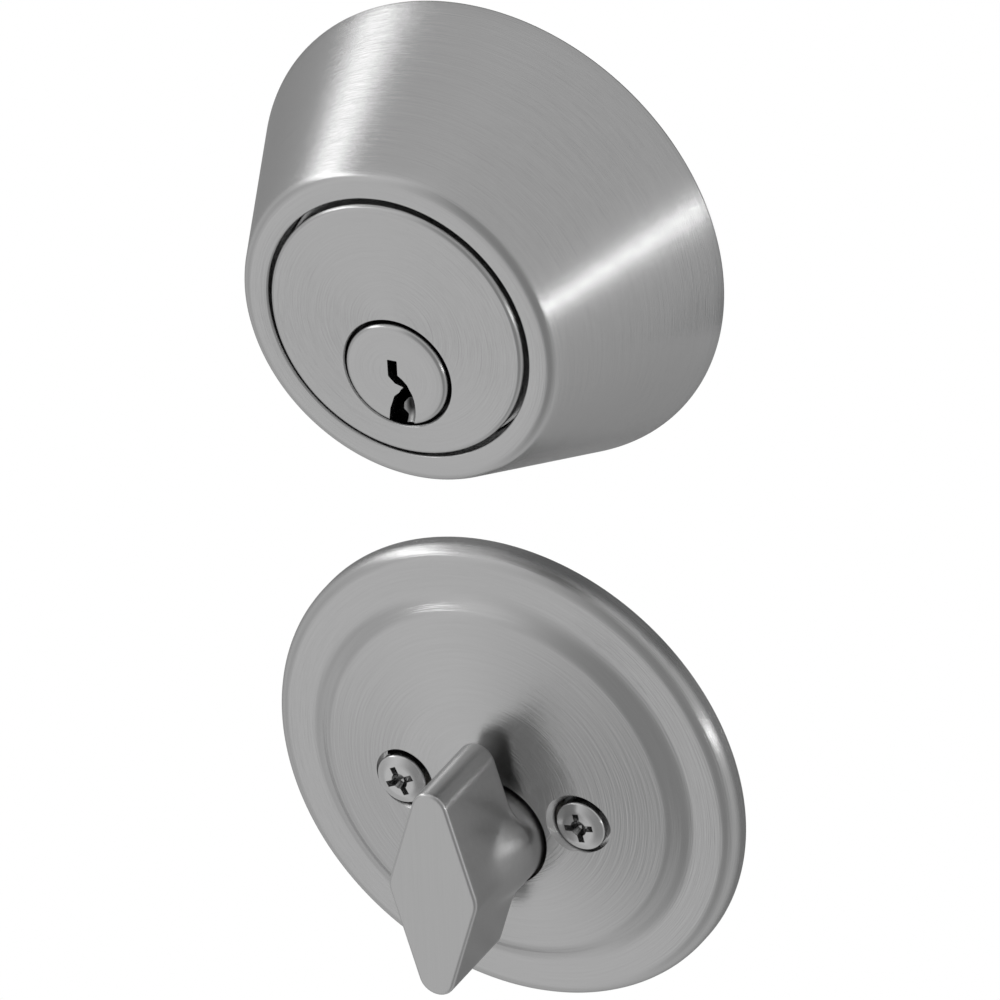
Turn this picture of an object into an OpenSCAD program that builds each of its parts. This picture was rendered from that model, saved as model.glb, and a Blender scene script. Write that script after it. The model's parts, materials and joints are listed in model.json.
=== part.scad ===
// Single-cylinder deadbolt door lock. The outside guard and key cylinder stand above the inside
// rosette and thumbturn on one plane, the door's face, and the tubular bolt unit sits behind the
// outside half, on its tailpiece, as it does in the door.
// Millimetres, +Z up. The origin is the tailpiece axis where it meets the door's face, and the
// outside of the lock faces -Y. Heights in front of the door's face are -Y.

/* [Door] */
// Thickness of the door
door_t = 44.5; // [40:0.5:54]
// Distance from the door's edge to the tailpiece axis
backset = 60.3; // [58:0.1:75]
// Gap between the outside half and the inside half, one above the other
half_gap = 15; // [5:1:40]

/* [Roses] */
// Diameter of both halves where they meet the door
rose_d = 67; // [64:0.5:84]
// How far the tailpiece axis lies below the middle of each half
axis_drop = 6.5; // [5.5:0.1:7]
// Distance between the two through bolts
bolt_gap = 26.2; // [25:0.1:27]
// Height of the through bolts above the tailpiece axis
bolt_rise = 4.5; // [3.5:0.1:6]
// Thickness of the steel plate behind each half
plate_t = 1.5; // [1:0.1:2]

/* [Guard] */
// Height of the outside guard in front of the door
guard_h = 26.5; // [22:0.5:32]
// Diameter of the guard at its front
guard_front_d = 44.6; // [43:0.1:54]
// Thickness of the guard's wall
guard_wall = 2.8; // [2:0.1:3.4]
// Radius of the guard's front edge
guard_round = 1.8; // [0.5:0.1:2.4]
// Thickness of the inner ledge that the cylinder holds the guard by
ledge_t = 2.6; // [1.5:0.1:4]

/* [Key cylinder] */
// Diameter of the cylinder's face
face_d = 36.4; // [36.2:0.1:37.4]
// How far the face stands in front of the guard
face_proud = 0.6; // [0:0.1:1]
// Thickness of the cylinder's face
face_t = 4.1; // [3:0.1:5]
// Diameter of the cylinder's body
body_d = 34; // [33.8:0.1:34.4]
// Diameter of the plug
plug_d = 12.7; // [11:0.1:13.4]
// How far the plug stands in front of the cylinder's face
plug_proud = 0.5; // [0:0.1:0.8]
// Depth of the plug's front flange behind the cylinder's face
flange_t = 2.2; // [1.5:0.1:3]
// Distance from the cylinder's face to the first pin
first_pin = 6.5; // [6:0.1:8]
// Distance between pins
pin_pitch = 3.81; // [3.4:0.01:4.6]
// Diameter of the pins
pin_d = 2.9; // [2.4:0.05:3.1]
// Length of the driver pins
driver_l = 4.5; // [3.5:0.1:5]
// Height of the spring cover above the plug's axis
cover_z = 17.2; // [15:0.1:18.5]

/* [Tailpiece] */
// Width of the tailpiece blade
tail_w = 6.4; // [5:0.1:6.6]
// Thickness of the tailpiece blade
tail_t = 2; // [1.6:0.1:2.6]

/* [Rosette] */
// Height of the rosette at its middle
rosette_h = 8; // [7:0.1:10]
// Diameter of the rosette's step
step_d = 49; // [46:0.5:52]
// Height of the top of the rosette's step
step_h = 5.1; // [4.8:0.1:5.6]
// Diameter where the rosette's cone starts to round off
crown_d = 26; // [22:0.5:30]
// Height of the flat band inside the rim
band_h = 4; // [3.6:0.1:4.4]
// Height of the rosette's rim
rim_h = 3.3; // [2.6:0.1:3.5]
// Thickness of the rosette's sheet
skin = 1.1; // [0.8:0.1:1.3]

/* [Thumbturn] */
// Length of the thumbturn's blade
turn_l = 31; // [26:0.5:38]
// Width of the thumbturn's blade
turn_w = 12.8; // [10.6:0.1:13.4]
// Depth of the thumbturn's blade
turn_t = 13.6; // [9.9:0.1:14.4]
// Height of the thumbturn's front in front of the door
turn_h = 23.7; // [22:0.1:28]
// Diameter of the thumbturn's hub
hub_d = 15.2; // [14.4:0.1:16]

/* [Bolt] */
// How far the bolt travels
throw = 25.4; // [21:0.1:26]
// Diameter of the bolt's tube
tube_d = 25; // [24.4:0.1:26]
// Width of the bolt's head across the door
head_w = 14; // [12:0.1:16]
// Length of the bolt's head
head_l = 38; // [33:0.5:39]
// How far the bolt's axis lies below the tailpiece axis
bolt_drop = 2; // [1:0.1:3]
// Width of the faceplate
faceplate_w = 25.4; // [24:0.1:28]
// Length of the faceplate
faceplate_l = 57.2; // [54:0.1:68]
// Thickness of the faceplate
faceplate_t = 2.3; // [2:0.1:3]
// Distance between the faceplate's screws
faceplate_gap = 41.3; // [40:0.1:44]

/* [Clearances] */
// Radial clearance of a turning or sliding fit
fit = 0.05; // [0.03:0.01:0.08]
// Gap between pieces that only pass each other
pass = 0.4; // [0.3:0.05:0.5]

/* [Hidden] */
$fn = 96;

nickel = [0.66, 0.65, 0.63];
brass = [0.78, 0.64, 0.36];
steel = [0.72, 0.74, 0.76];
nylon = [0.88, 0.86, 0.8];

// past is how far a cut runs beyond a face, and lap how far joined shapes run into each other
past = 1;
lap = 0.5;

// Roses and guard
rose_r = rose_d / 2;
guard_lift = 0.2;
guard_front_r = guard_front_d / 2;
guard_slope = atan((rose_r - guard_front_r) / guard_h);
guard_wall_x = guard_wall / cos(guard_slope);
rim_bore_h = 1.4;
rim_bore_r = guard_r(rim_bore_h) - guard_wall_x;
ring_w = 1.6;
plate_r = rim_bore_r - pass - ring_w;
bolt_x = bolt_gap / 2;

// Key cylinder, measured back from its face
face_h = guard_h + face_proud;
plug_h = face_h + plug_proud;
face_r = face_d / 2;
face_round = 0.8;
face_back = face_h - face_t;
body_r = body_d / 2;
neck_r = body_r - 0.6;
ledge_r = body_r + 0.3;
counterbore_r = face_r + 0.6;
washer_t = 0.5;
ledge_top = face_back - washer_t - 0.3;
plug_r = plug_d / 2;
flange_r = plug_r + 0.95;
pin_r = pin_d / 2;
chamber_r = pin_r + fit + 0.02;
pin_count = 5;
pin_lengths = [4.2, 5.4, 4.8, 6, 5.1];
pin_drop = 1.5;
shear_gap = 0.07;
pin_top = sqrt(pow(plug_r - 0.03, 2) - pow(pin_r, 2));
chamber_floor = pin_top - max(pin_lengths) - pin_drop - 0.1;
recess_top = face_h - first_pin - (pin_count - 1) * pin_pitch - pin_r - 2.4;
recess_r = plug_r + 2.05;
lug_r = recess_r - 0.5;
lug_h = 2.9;
boss_r = 3;
plug_neck_r = plug_r - 1.5;
clip_top = recess_top - 0.3;
clip_t = 0.9;
lug_top = clip_top - clip_t - 0.3;
lug_bottom = lug_top - lug_h;
lug_angle = 40;
tail_disc_top = lug_bottom - 0.3;
tail_disc_t = 1.5;
retainer_top = tail_disc_top - tail_disc_t - 0.3;
retainer_t = 1.4;
housing_back = retainer_top - retainer_t - 0.3;
thread_r = 2.05;
thread_l = 21;
channel_w = pin_d + 1.5;
channel_margin = 0.9;
cover_t = 1.4;
tail_end = door_t + 5.5;

// Inside half
inside_z = axis_drop - rose_d - half_gap;
turn_z = inside_z - axis_drop;
step_r = step_d / 2;
step_w = 1.5;
step_edge = 0.9;
rim_edge = 1.5;
crown_r = crown_d / 2;
crown_h = 0.7;
well_r = 4;
well_wall = 0.9;
well_floor = 5.6;
screw_hole_r = 2.2;
screw_r = 2;
screw_head_r = 3.5;
screw_l = door_t + 8.6;
hub_r = hub_d / 2;
shaft_r = hub_r - 1.6;
post_r = well_r - 0.1;
plate_inset = 2.4;
bushing_r = shaft_r + 1.2;
bushing_top = well_floor - 0.6;
bushing_back = -0.8;
shaft_back = -3.4;
groove = 0.6;
turn_washer_t = 0.4;
turn_clip_t = 0.8;
turn_clip_front = bushing_back - pass / 2 - turn_washer_t - 0.1;
dish_r = bushing_r + 3.8;
dish = 0.8;
lip_w = 0.7;
lip_t = 0.6;

// Bolt unit
bolt_y = door_t / 2;
case_w = 13;
case_t = 1.5;
tube_r = tube_d / 2;
tube_wall = 1.2;
head_r = tube_r - tube_wall - 0.5;
head_back = backset - head_l - 0.3;
tube_back = head_back - 3.5;
tube_cap_t = 2;
case_front_x = tube_back;
case_back_x = -throw / 2 - 5.8;
case_half = sqrt(pow(tube_r, 2) - pow(case_w / 2, 2)) - 0.1;
rivet_r = 1.6;
rivet_head_r = rivet_r + 0.7;
rivet_inset = 2.6;
rivet_x = 6.5;
rivet_rise = case_half - bolt_drop - 2.2;
rivet_spots = [[case_back_x + rivet_inset, -1], [case_front_x - rivet_inset, -1],
    [-rivet_x, rivet_rise], [rivet_x, rivet_rise]];
crank_pin_r = 1.5;
fork_gap = 1.25;
fork_wall = 2;
fork_w = 2 * (crank_pin_r + fork_gap + fork_wall);
fork_tip = throw / sqrt(2) + 1.2;
arm_y = bolt_y - 2.45;
arm_t = 3.2;
bar_y = arm_y + arm_t + 0.6;
bar_t = 2.2;
bar_top = -7.2;
bar_w = 4.3;
journal_r = 5;
crank_hub_r = 5.9;
roller_r = 3.2;
sink_h = 2;
backing_t = 1.5;
backing_x = backset - faceplate_t - backing_t;

// Radius of the guard's outside at a height in front of the door
function guard_r(h) = rose_r - (rose_r - guard_front_r) * h / guard_h;

// Points along an arc from angle a to angle b
function arc(x, y, r, a, b, n = 6) =
    [for (i = [0:n]) [x + r * cos(a + (b - a) * i / n), y + r * sin(a + (b - a) * i / n)]];

// Y of one pin's axis, counted from 0 at the front
function pin_y(i) = -face_h + first_pin + i * pin_pitch;

// A rod along Y from y0 to y1
module rod(r, y0, y1, x = 0, z = 0) {
    translate([x, y0, z]) rotate([-90, 0, 0]) cylinder(r = r, h = y1 - y0);
}

// A rod along X from x0 to x1
module rod_x(r, x0, x1, y = 0, z = 0) {
    translate([x0, y, z]) rotate([0, 90, 0]) cylinder(r = r, h = x1 - x0);
}

// A flat ring along Y
module ring(r_out, r_in, y0, y1, z = 0) {
    difference() {
        rod(r_out, y0, y1, 0, z);
        rod(r_in, y0 - past, y1 + past, 0, z);
    }
}

// A profile of [radius, height in front of the door] points turned about a line along Y
module turned(points, z = 0) {
    translate([0, 0, z]) rotate([90, 0, 0]) rotate_extrude() polygon(points);
}

// An outline in X and Z made solid from y0 to y1
module slab(y0, y1) {
    translate([0, y1, 0]) rotate([90, 0, 0]) linear_extrude(y1 - y0) children();
}

// An outline in Y and Z made solid from x0 to x1
module slab_x(x0, x1) {
    translate([x0, 0, 0]) rotate([90, 0, 90]) linear_extrude(x1 - x0) children();
}

// A sector of a disc about the tailpiece axis, its middle at the given angle
module sector(r, angle, y0, y1) {
    intersection() {
        rod(r, y0, y1);
        slab(y0, y1) rotate(angle) polygon([[0, 0], for (s = [-1, 1]) 2 * r * [cos(s * lug_angle / 2),
            sin(s * lug_angle / 2)]]);
    }
}

// A rectangle with round corners, about its middle
module soft_rectangle(w, l, r) {
    square([w - 2 * r, l], center = true);
    square([w, l - 2 * r], center = true);
    for (x = [-1, 1], y = [-1, 1]) translate([x * (w / 2 - r), y * (l / 2 - r)]) circle(r);
}

// A closed coil of round wire about Z, from z0 to z1
module coil(r, wire, z0, z1, turns) {
    steps = 12;
    sides = 6;
    n = steps * turns;
    points = [for (i = [0:n], j = [0:sides - 1]) let (a = 360 * i / steps, b = 360 * j / sides)
        [(r + wire * cos(b)) * cos(a), (r + wire * cos(b)) * sin(a),
            z0 + wire + (z1 - z0 - 2 * wire) * i / n + wire * sin(b)]];
    walls = [for (i = [0:n - 1], j = [0:sides - 1]) let (k = (j + 1) % sides)
        each [[i * sides + j, i * sides + k, i * sides + sides + k],
            [i * sides + j, i * sides + sides + k, i * sides + sides + j]]];
    polyhedron(points, concat(walls,
        [[for (j = [sides - 1:-1:0]) j], [for (j = [0:sides - 1]) n * sides + j]]));
}

// The two crossed slots of a cross-head screw, about Z, cut down from z = 0
module cross_slots(r, depth) {
    for (a = [0, 90]) rotate(a) translate([-r, -0.45, -depth]) cube([2 * r, 0.9, 2 * depth]);
}

// Outside half

module guard_collar() {
    edge_h = guard_h - guard_round;
    edge_x = guard_r(edge_h) - guard_round / cos(guard_slope);
    ledge_bottom = ledge_top - ledge_t;
    color(nickel) turned(concat(
        [[rim_bore_r, guard_lift], [guard_r(guard_lift), guard_lift]],
        arc(edge_x, edge_h, guard_round, guard_slope, 90),
        [[counterbore_r, guard_h], [counterbore_r, ledge_top], [ledge_r, ledge_top]],
        [[ledge_r, ledge_bottom], [guard_r(ledge_bottom) - guard_wall_x, ledge_bottom]],
        [[rim_bore_r, rim_bore_h]]), axis_drop);
}

module wave_washer() {
    color(steel) ring(face_r, ledge_r + 0.1, -face_back, -face_back + washer_t, axis_drop);
}

module cylinder_housing() {
    channel_l = (pin_count - 1) * pin_pitch + pin_d + 2;
    color(nickel) difference() {
        turned(concat(
            [[0, housing_back], [neck_r, housing_back], [neck_r, plate_t], [body_r, plate_t]],
            [[body_r, face_back], [face_r, face_back]],
            arc(face_r - face_round, face_h - face_round, face_round, 0, 90, 4),
            [[0, face_h]]), axis_drop);
        rod(flange_r + pass, -face_h - past, -face_h + flange_t + 0.2);
        rod(plug_r + fit, -face_h, -housing_back + past);
        rod(recess_r, -recess_top, -housing_back + past);
        for (i = [0:pin_count - 1]) translate([0, pin_y(i), plug_r - past])
            cylinder(r = chamber_r, h = cover_z - plug_r + 2 * past);
        translate([-channel_w / 2, pin_y(0) - chamber_r - channel_margin, cover_z])
            cube([channel_w, channel_l, body_r + axis_drop]);
        for (s = [-1, 1])
            rod(thread_r, -housing_back - thread_l, -housing_back + past, s * bolt_x, bolt_rise);
    }
}

module chamber_cover() {
    cover_l = (pin_count - 1) * pin_pitch + pin_d + 1.6;
    color(brass) translate([-channel_w / 2 + fit, pin_y(0) - chamber_r - 0.7, cover_z])
        cube([channel_w - 2 * fit, cover_l, cover_t]);
}

// The key's way through the plug, from above its middle to its lower edge
module keyway() {
    polygon([[-1.2, 2.1], [0.2, 2.2], [0.25, 0.1], [1, -0.4], [1.7, -1.1], [2.1, -2], [1.9, -3.6],
        [1.05, -3.85], [0.5, -4.9], [0.5, -5.4], [1.05, -6.3], [1, -flange_r - past],
        [-1.2, -flange_r - past], [-0.9, -5], [-0.3, -3.2], [0.7, -2.2], [1.15, -1.5], [-0.15, -1.25],
        [-1.15, -0.35]]);
}

module plug() {
    edge = 0.5;
    color(nickel) difference() {
        union() {
            turned([[0, lug_bottom], [boss_r, lug_bottom], [boss_r, lug_top], [plug_neck_r, lug_top],
                [plug_neck_r, recess_top - 0.2], [plug_r, recess_top - 0.2], [plug_r, face_h - flange_t],
                [flange_r, face_h - flange_t], [flange_r, plug_h - edge], [flange_r - edge, plug_h],
                [0, plug_h]]);
            sector(lug_r, 90, -lug_top, -lug_bottom);
        }
        slab(-plug_h - past, -recess_top - past) keyway();
        for (i = [0:pin_count - 1]) translate([0, pin_y(i), chamber_floor])
            cylinder(r = chamber_r, h = 2 * plug_r);
    }
}

module plug_clip() {
    gap = 3;
    color(steel) difference() {
        ring(lug_r, plug_neck_r + 0.01, -clip_top, -clip_top + clip_t);
        translate([-gap / 2, -clip_top - past, -recess_r - past]) cube([gap, clip_t + 2 * past, recess_r]);
    }
}

module pin(i) {
    tip = 0.8;
    bottom = pin_top - pin_lengths[i];
    color(brass) translate([0, pin_y(i), bottom]) {
        cylinder(r1 = pin_r - tip, r2 = pin_r, h = tip);
        translate([0, 0, tip]) cylinder(r = pin_r, h = pin_lengths[i] - tip);
    }
}

module driver(i) {
    color(steel) translate([0, pin_y(i), plug_r + shear_gap]) cylinder(r = pin_r, h = driver_l);
}

module pin_spring(i) {
    wire = 0.16;
    color(steel) translate([0, pin_y(i), 0])
        coil(pin_r - wire - 0.1, wire, plug_r + shear_gap + driver_l + 0.02, cover_z - 0.02, 8);
}

module tailpiece() {
    color(steel) {
        difference() {
            union() {
                sector(lug_r, 225, -lug_top + 0.1, -tail_disc_top + 0.1);
                rod(lug_r, -tail_disc_top, -tail_disc_top + tail_disc_t);
            }
            rod(boss_r + 0.3, -lug_top, -tail_disc_top - 0.05);
        }
        translate([-tail_t / 2, -tail_disc_top + 0.5, -tail_w / 2])
            cube([tail_t, tail_end + tail_disc_top - 0.5, tail_w]);
    }
}

module tail_retainer() {
    color(steel) ring(recess_r - 0.02, tail_w / 2 + 0.8, -retainer_top, -retainer_top + retainer_t);
}

module outside_back_plate() {
    color(steel) ring(plate_r, neck_r + fit, -plate_t, 0, axis_drop);
}

module centring_ring() {
    color(nylon) ring(plate_r + ring_w, plate_r + 0.01, -plate_t, 0, axis_drop);
}

// Inside half

// The rosette's section: the skin's outside at t = 0, and its inside at t = its thickness
function rosette_section(t) =
    let (rim_r = rose_r - t, edge = rim_edge - t / 2)
    concat([[rim_r, 0]],
        arc(rim_r - edge, rim_h - t - edge, edge, 0, 80),
        [[step_r + step_w - t / 2, band_h - t]],
        arc(step_r - t / 2, step_h - step_edge - t, step_edge, 20, 75, 3),
        [[crown_r, rosette_h - crown_h - t], [crown_r / 2, rosette_h - crown_h / 5 - t]],
        [[0, rosette_h - t]]);

module inside_rosette() {
    color(nickel) difference() {
        turned(concat([[0, 0]], rosette_section(0)), inside_z);
        difference() {
            turned(concat([[0, -1], [rose_r - skin, -1]], rosette_section(skin)), inside_z);
            for (s = [-1, 1])
                rod(well_r + well_wall, -rosette_h - past, -well_floor + well_wall, s * bolt_x,
                    turn_z + bolt_rise);
        }
        for (s = [-1, 1]) {
            rod(well_r, -rosette_h - past, -well_floor, s * bolt_x, turn_z + bolt_rise);
            rod(screw_hole_r, -rosette_h, 1, s * bolt_x, turn_z + bolt_rise);
        }
        rod(hub_r + pass, -rosette_h - past, past, 0, turn_z);
    }
}

module inside_back_plate() {
    color(steel) difference() {
        union() {
            rod(rose_r - skin - plate_inset, -plate_t, 0, 0, inside_z);
            rod(dish_r + plate_t / 2, -plate_t - dish, -plate_t + lap, 0, turn_z);
            for (s = [-1, 1])
                rod(post_r, -well_floor + well_wall + 0.1, -plate_t + lap, s * bolt_x, turn_z + bolt_rise);
        }
        for (s = [-1, 1]) rod(screw_hole_r, -well_floor, past, s * bolt_x, turn_z + bolt_rise);
        rod(dish_r, -dish, past, 0, turn_z);
        rod(bushing_r + 0.01, -plate_t - dish - past, past, 0, turn_z);
    }
}

// The blade's outline: a long rhombus with round ends and soft sides
module turn_outline(inset = 0) {
    end_r = 2.4;
    side_r = 1.5;
    hull() {
        for (s = [-1, 1]) {
            translate([0, s * (turn_l / 2 - end_r)]) circle(end_r - inset, $fn = 32);
            translate([s * (turn_w / 2 - side_r), 0]) circle(side_r - inset, $fn = 32);
        }
    }
}

module thumbturn() {
    blade_back = turn_h - turn_t;
    edge = 0.8;
    hub_top = blade_back + 7;
    color(nickel) translate([0, 0, turn_z]) difference() {
        union() {
            hull() {
                slab(-turn_h + edge, -blade_back - edge) turn_outline();
                slab(-turn_h, -blade_back) turn_outline(edge);
            }
            turned([[0, shaft_back], [shaft_r, shaft_back], [shaft_r, turn_clip_front - turn_clip_t],
                [shaft_r - groove, turn_clip_front - turn_clip_t], [shaft_r - groove, turn_clip_front],
                [shaft_r, turn_clip_front], [shaft_r, bushing_top + 0.3], [hub_r, bushing_top + 0.3],
                [hub_r, blade_back + 1], [hub_r - 0.3, blade_back + 3], [hub_r - 1, blade_back + 5],
                [hub_r - 2.2, hub_top], [0, hub_top]]);
        }
        translate([-tail_t / 2 - 0.3, -bushing_top - 4, -tail_w / 2 - 0.3])
            cube([tail_t + 0.6, bushing_top + 8, tail_w + 0.6]);
    }
}

module turn_bushing() {
    flange_t = 1;
    color(nylon) difference() {
        union() {
            rod(bushing_r, -bushing_top, -bushing_back, 0, turn_z);
            rod(bushing_r + 1.8, -plate_t - dish - flange_t, -plate_t - dish, 0, turn_z);
            rod(bushing_r + lip_w, -dish, -dish + lip_t, 0, turn_z);
        }
        rod(shaft_r + fit, -bushing_top - past, -bushing_back + past, 0, turn_z);
    }
}

module turn_washer() {
    front = -bushing_back + pass / 2;
    color(steel) ring(bushing_r + 1, shaft_r + 0.1, front, front + turn_washer_t, turn_z);
}

module turn_clip() {
    gap = 4;
    color(steel) difference() {
        ring(bushing_r + 0.4, shaft_r - groove + 0.01, -turn_clip_front + 0.02,
            -turn_clip_front + turn_clip_t - 0.02, turn_z);
        translate([-gap / 2, -turn_clip_front - past, turn_z - bushing_r - 2])
            cube([gap, turn_clip_t + 2 * past, bushing_r]);
    }
}

module through_bolt(side) {
    head_h = 2.3;
    dome = 0.7;
    color(steel) translate([side * bolt_x, 0, turn_z + bolt_rise]) difference() {
        turned([[0, well_floor - screw_l], [screw_r - 0.5, well_floor - screw_l],
            [screw_r, well_floor - screw_l + 0.8], [screw_r, well_floor], [screw_head_r, well_floor],
            [screw_head_r, well_floor + head_h - dome], [screw_head_r - 0.7, well_floor + head_h - 0.2],
            [screw_head_r - 1.8, well_floor + head_h], [0, well_floor + head_h]]);
        translate([0, -well_floor - head_h, 0]) rotate([90, 0, 0]) cross_slots(1.9, 1.4);
    }
}

// Bolt unit

module bolt_head() {
    edge = 0.8;
    color(nickel) difference() {
        intersection() {
            translate([0, bolt_y, -bolt_drop]) rotate([0, 90, 0]) rotate_extrude()
                polygon([[0, head_back], [head_r, head_back], [head_r, backset - 0.3 - edge],
                    [head_r - edge, backset - 0.3], [0, backset - 0.3]]);
            translate([head_back, bolt_y - head_w / 2, -bolt_drop - head_r])
                cube([head_l, head_w, 2 * head_r]);
        }
        rod_x(roller_r + fit, head_back - past, backset - 4, bolt_y, 0);
        translate([head_back - past, bar_y - 0.02, bar_top - bar_w - 0.02])
            cube([9, bar_t + 0.04, bar_w + 0.04]);
    }
}

module bolt_roller_pin() {
    color(steel) rod_x(roller_r, head_back + 2, backset - 4.3, bolt_y, 0);
}

module bolt_tail() {
    pad_r = 3.8;
    color(steel) difference() {
        slab(bar_y, bar_y + bar_t) union() {
            translate([-throw / 2, bar_top - bar_w]) square([head_back + 8 - 0.02 + throw / 2, bar_w]);
            translate([-throw / 2, -throw / 2]) circle(pad_r);
            translate([-throw / 2 - pad_r, -throw / 2]) square([2 * pad_r, throw / 2 + bar_top]);
        }
        rod(crank_pin_r - 0.2, bar_y - past, bar_y + bar_t + past, -throw / 2, -throw / 2);
    }
}

module bolt_tail_pin() {
    color(steel) {
        rod(crank_pin_r, arm_y - 0.6, bar_y, -throw / 2, -throw / 2);
        rod(crank_pin_r - 0.21, bar_y - 0.5, bar_y + bar_t, -throw / 2, -throw / 2);
    }
}

module bolt_tube() {
    color(steel) difference() {
        rod_x(tube_r, tube_back, backing_x, bolt_y, -bolt_drop);
        rod_x(tube_r - tube_wall, tube_back + tube_cap_t, backing_x + past, bolt_y, -bolt_drop);
        translate([tube_back - past, bar_y - 0.7, bar_top - bar_w - 0.7])
            cube([tube_cap_t + 2, bar_t + 1.4, bar_w + 1.4]);
    }
}

module case_plate(y) {
    color(steel) difference() {
        translate([case_back_x, y, -bolt_drop - case_half])
            cube([case_front_x - case_back_x, case_t, 2 * case_half]);
        rod(journal_r + fit, y - past, y + case_t + past);
        for (s = [-1, 1]) rod(screw_r + 0.6, y - past, y + case_t + past, s * bolt_x, bolt_rise);
        for (p = rivet_spots) rod(rivet_r + 0.01, y - past, y + case_t + past, p[0], p[1]);
    }
}

module case_rivets() {
    color(steel) for (p = rivet_spots) {
        rod(rivet_head_r, bolt_y - case_w / 2 + case_t, bolt_y + case_w / 2 - case_t, p[0], p[1]);
        rod(rivet_r, bolt_y - case_w / 2, bolt_y + case_w / 2, p[0], p[1]);
    }
}

module crank() {
    color(steel) difference() {
        union() {
            rod(crank_hub_r, bolt_y - case_w / 2 + case_t + 0.2, bolt_y + case_w / 2 - case_t - 0.2);
            rod(journal_r, bolt_y - case_w / 2 - 0.2, bolt_y + case_w / 2 + 0.2);
            slab(arm_y, arm_y + arm_t) rotate(-45) difference() {
                translate([-fork_w / 2, -fork_tip]) square([fork_w, fork_tip]);
                translate([-fork_w / 2 + fork_wall, -fork_tip - 1])
                    square([fork_w - 2 * fork_wall, fork_tip + 1 - throw / 2 + crank_pin_r + 0.4]);
            }
        }
        translate([-tail_t / 2 - 0.25, bolt_y - case_w, -tail_w / 2 - 0.25])
            cube([tail_t + 0.5, 2 * case_w, tail_w + 0.5]);
    }
}

module faceplate() {
    color(nickel) difference() {
        slab_x(backset - faceplate_t, backset) translate([bolt_y, -bolt_drop]) difference() {
            soft_rectangle(faceplate_w, faceplate_l, 6.3);
            intersection() {
                circle(head_r + 0.3);
                square([head_w + 0.6, 3 * head_r], center = true);
            }
        }
        for (s = [-1, 1]) translate([0, bolt_y, -bolt_drop + s * faceplate_gap / 2]) {
            rod_x(screw_hole_r, backset - 10, backset + past);
            translate([backset - sink_h, 0, 0]) rotate([0, 90, 0])
                cylinder(r1 = screw_hole_r, r2 = screw_hole_r + sink_h + 0.1, h = sink_h + 0.1);
        }
    }
}

module faceplate_backing() {
    color(steel) difference() {
        slab_x(backing_x, backing_x + backing_t) translate([bolt_y, -bolt_drop])
            soft_rectangle(faceplate_w - 1.4, faceplate_l - 1.4, 5.6);
        rod_x(tube_r - tube_wall, backing_x - past, backing_x + backing_t + past, bolt_y, -bolt_drop);
        for (s = [-1, 1])
            rod_x(screw_hole_r, backing_x - past, backing_x + backing_t + past, bolt_y,
                -bolt_drop + s * faceplate_gap / 2);
    }
}

module faceplate_screws() {
    length = 19;
    color(nickel) for (s = [-1, 1]) translate([0, bolt_y, -bolt_drop + s * faceplate_gap / 2]) difference() {
        rotate([0, 90, 0]) rotate_extrude() polygon([[0, backset - length], [screw_r, backset - length + 3],
            [screw_r, backset - sink_h], [screw_r + sink_h, backset - 0.1], [0, backset - 0.1]]);
        translate([backset - 0.1, 0, 0]) rotate([0, 90, 0]) cross_slots(1.9, 1.4);
    }
}

guard_collar();
wave_washer();
cylinder_housing();
plug();
plug_clip();
chamber_cover();
for (i = [0:pin_count - 1]) {
    pin(i);
    driver(i);
    pin_spring(i);
}
tailpiece();
tail_retainer();
outside_back_plate();
centring_ring();
inside_rosette();
inside_back_plate();
thumbturn();
turn_bushing();
turn_washer();
turn_clip();
through_bolt(-1);  // through_bolt_left
through_bolt(1);  // through_bolt_right
bolt_head();
bolt_roller_pin();
bolt_tail();
bolt_tail_pin();
bolt_tube();
case_plate(bolt_y - case_w / 2);  // case_plate_front
case_plate(bolt_y + case_w / 2 - case_t);  // case_plate_back
case_rivets();
crank();
faceplate();
faceplate_backing();
faceplate_screws();
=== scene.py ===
"""A satin nickel deadbolt: its guard, key cylinder, rosette, thumbturn and bolt, round the CAD frame.

Lengths are millimetres until a mesh is written, which turns them into metres. Heights are in front of
the door's face, which is the plane Y = 0, so a height h lies at Y = -h.
"""

import json
import math

import bpy
import numpy as np
from mathutils import Matrix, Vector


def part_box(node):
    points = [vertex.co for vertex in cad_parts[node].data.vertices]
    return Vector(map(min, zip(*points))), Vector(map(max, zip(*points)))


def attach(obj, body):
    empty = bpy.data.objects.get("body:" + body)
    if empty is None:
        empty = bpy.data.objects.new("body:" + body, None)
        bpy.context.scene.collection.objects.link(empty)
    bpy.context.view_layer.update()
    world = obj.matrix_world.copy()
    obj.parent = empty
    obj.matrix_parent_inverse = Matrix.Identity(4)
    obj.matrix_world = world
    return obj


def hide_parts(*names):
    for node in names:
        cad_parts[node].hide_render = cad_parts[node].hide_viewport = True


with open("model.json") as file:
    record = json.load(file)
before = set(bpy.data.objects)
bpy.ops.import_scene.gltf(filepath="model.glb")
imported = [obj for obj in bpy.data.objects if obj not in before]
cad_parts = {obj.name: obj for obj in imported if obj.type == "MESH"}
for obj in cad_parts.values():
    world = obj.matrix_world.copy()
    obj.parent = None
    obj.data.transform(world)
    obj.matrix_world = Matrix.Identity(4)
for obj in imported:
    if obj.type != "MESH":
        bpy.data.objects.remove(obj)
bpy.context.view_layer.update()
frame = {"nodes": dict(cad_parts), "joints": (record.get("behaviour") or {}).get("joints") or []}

bl_info = {
    "name": "Deadbolt Door Lock",
    "version": (1, 0, 0),
    "blender": (4, 5, 0),
    "location": "View3D > Sidebar > Deadbolt",
    "description": "Dresses a deadbolt's frame in satin nickel, and lights it",
    "category": "Object",
}

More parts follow.
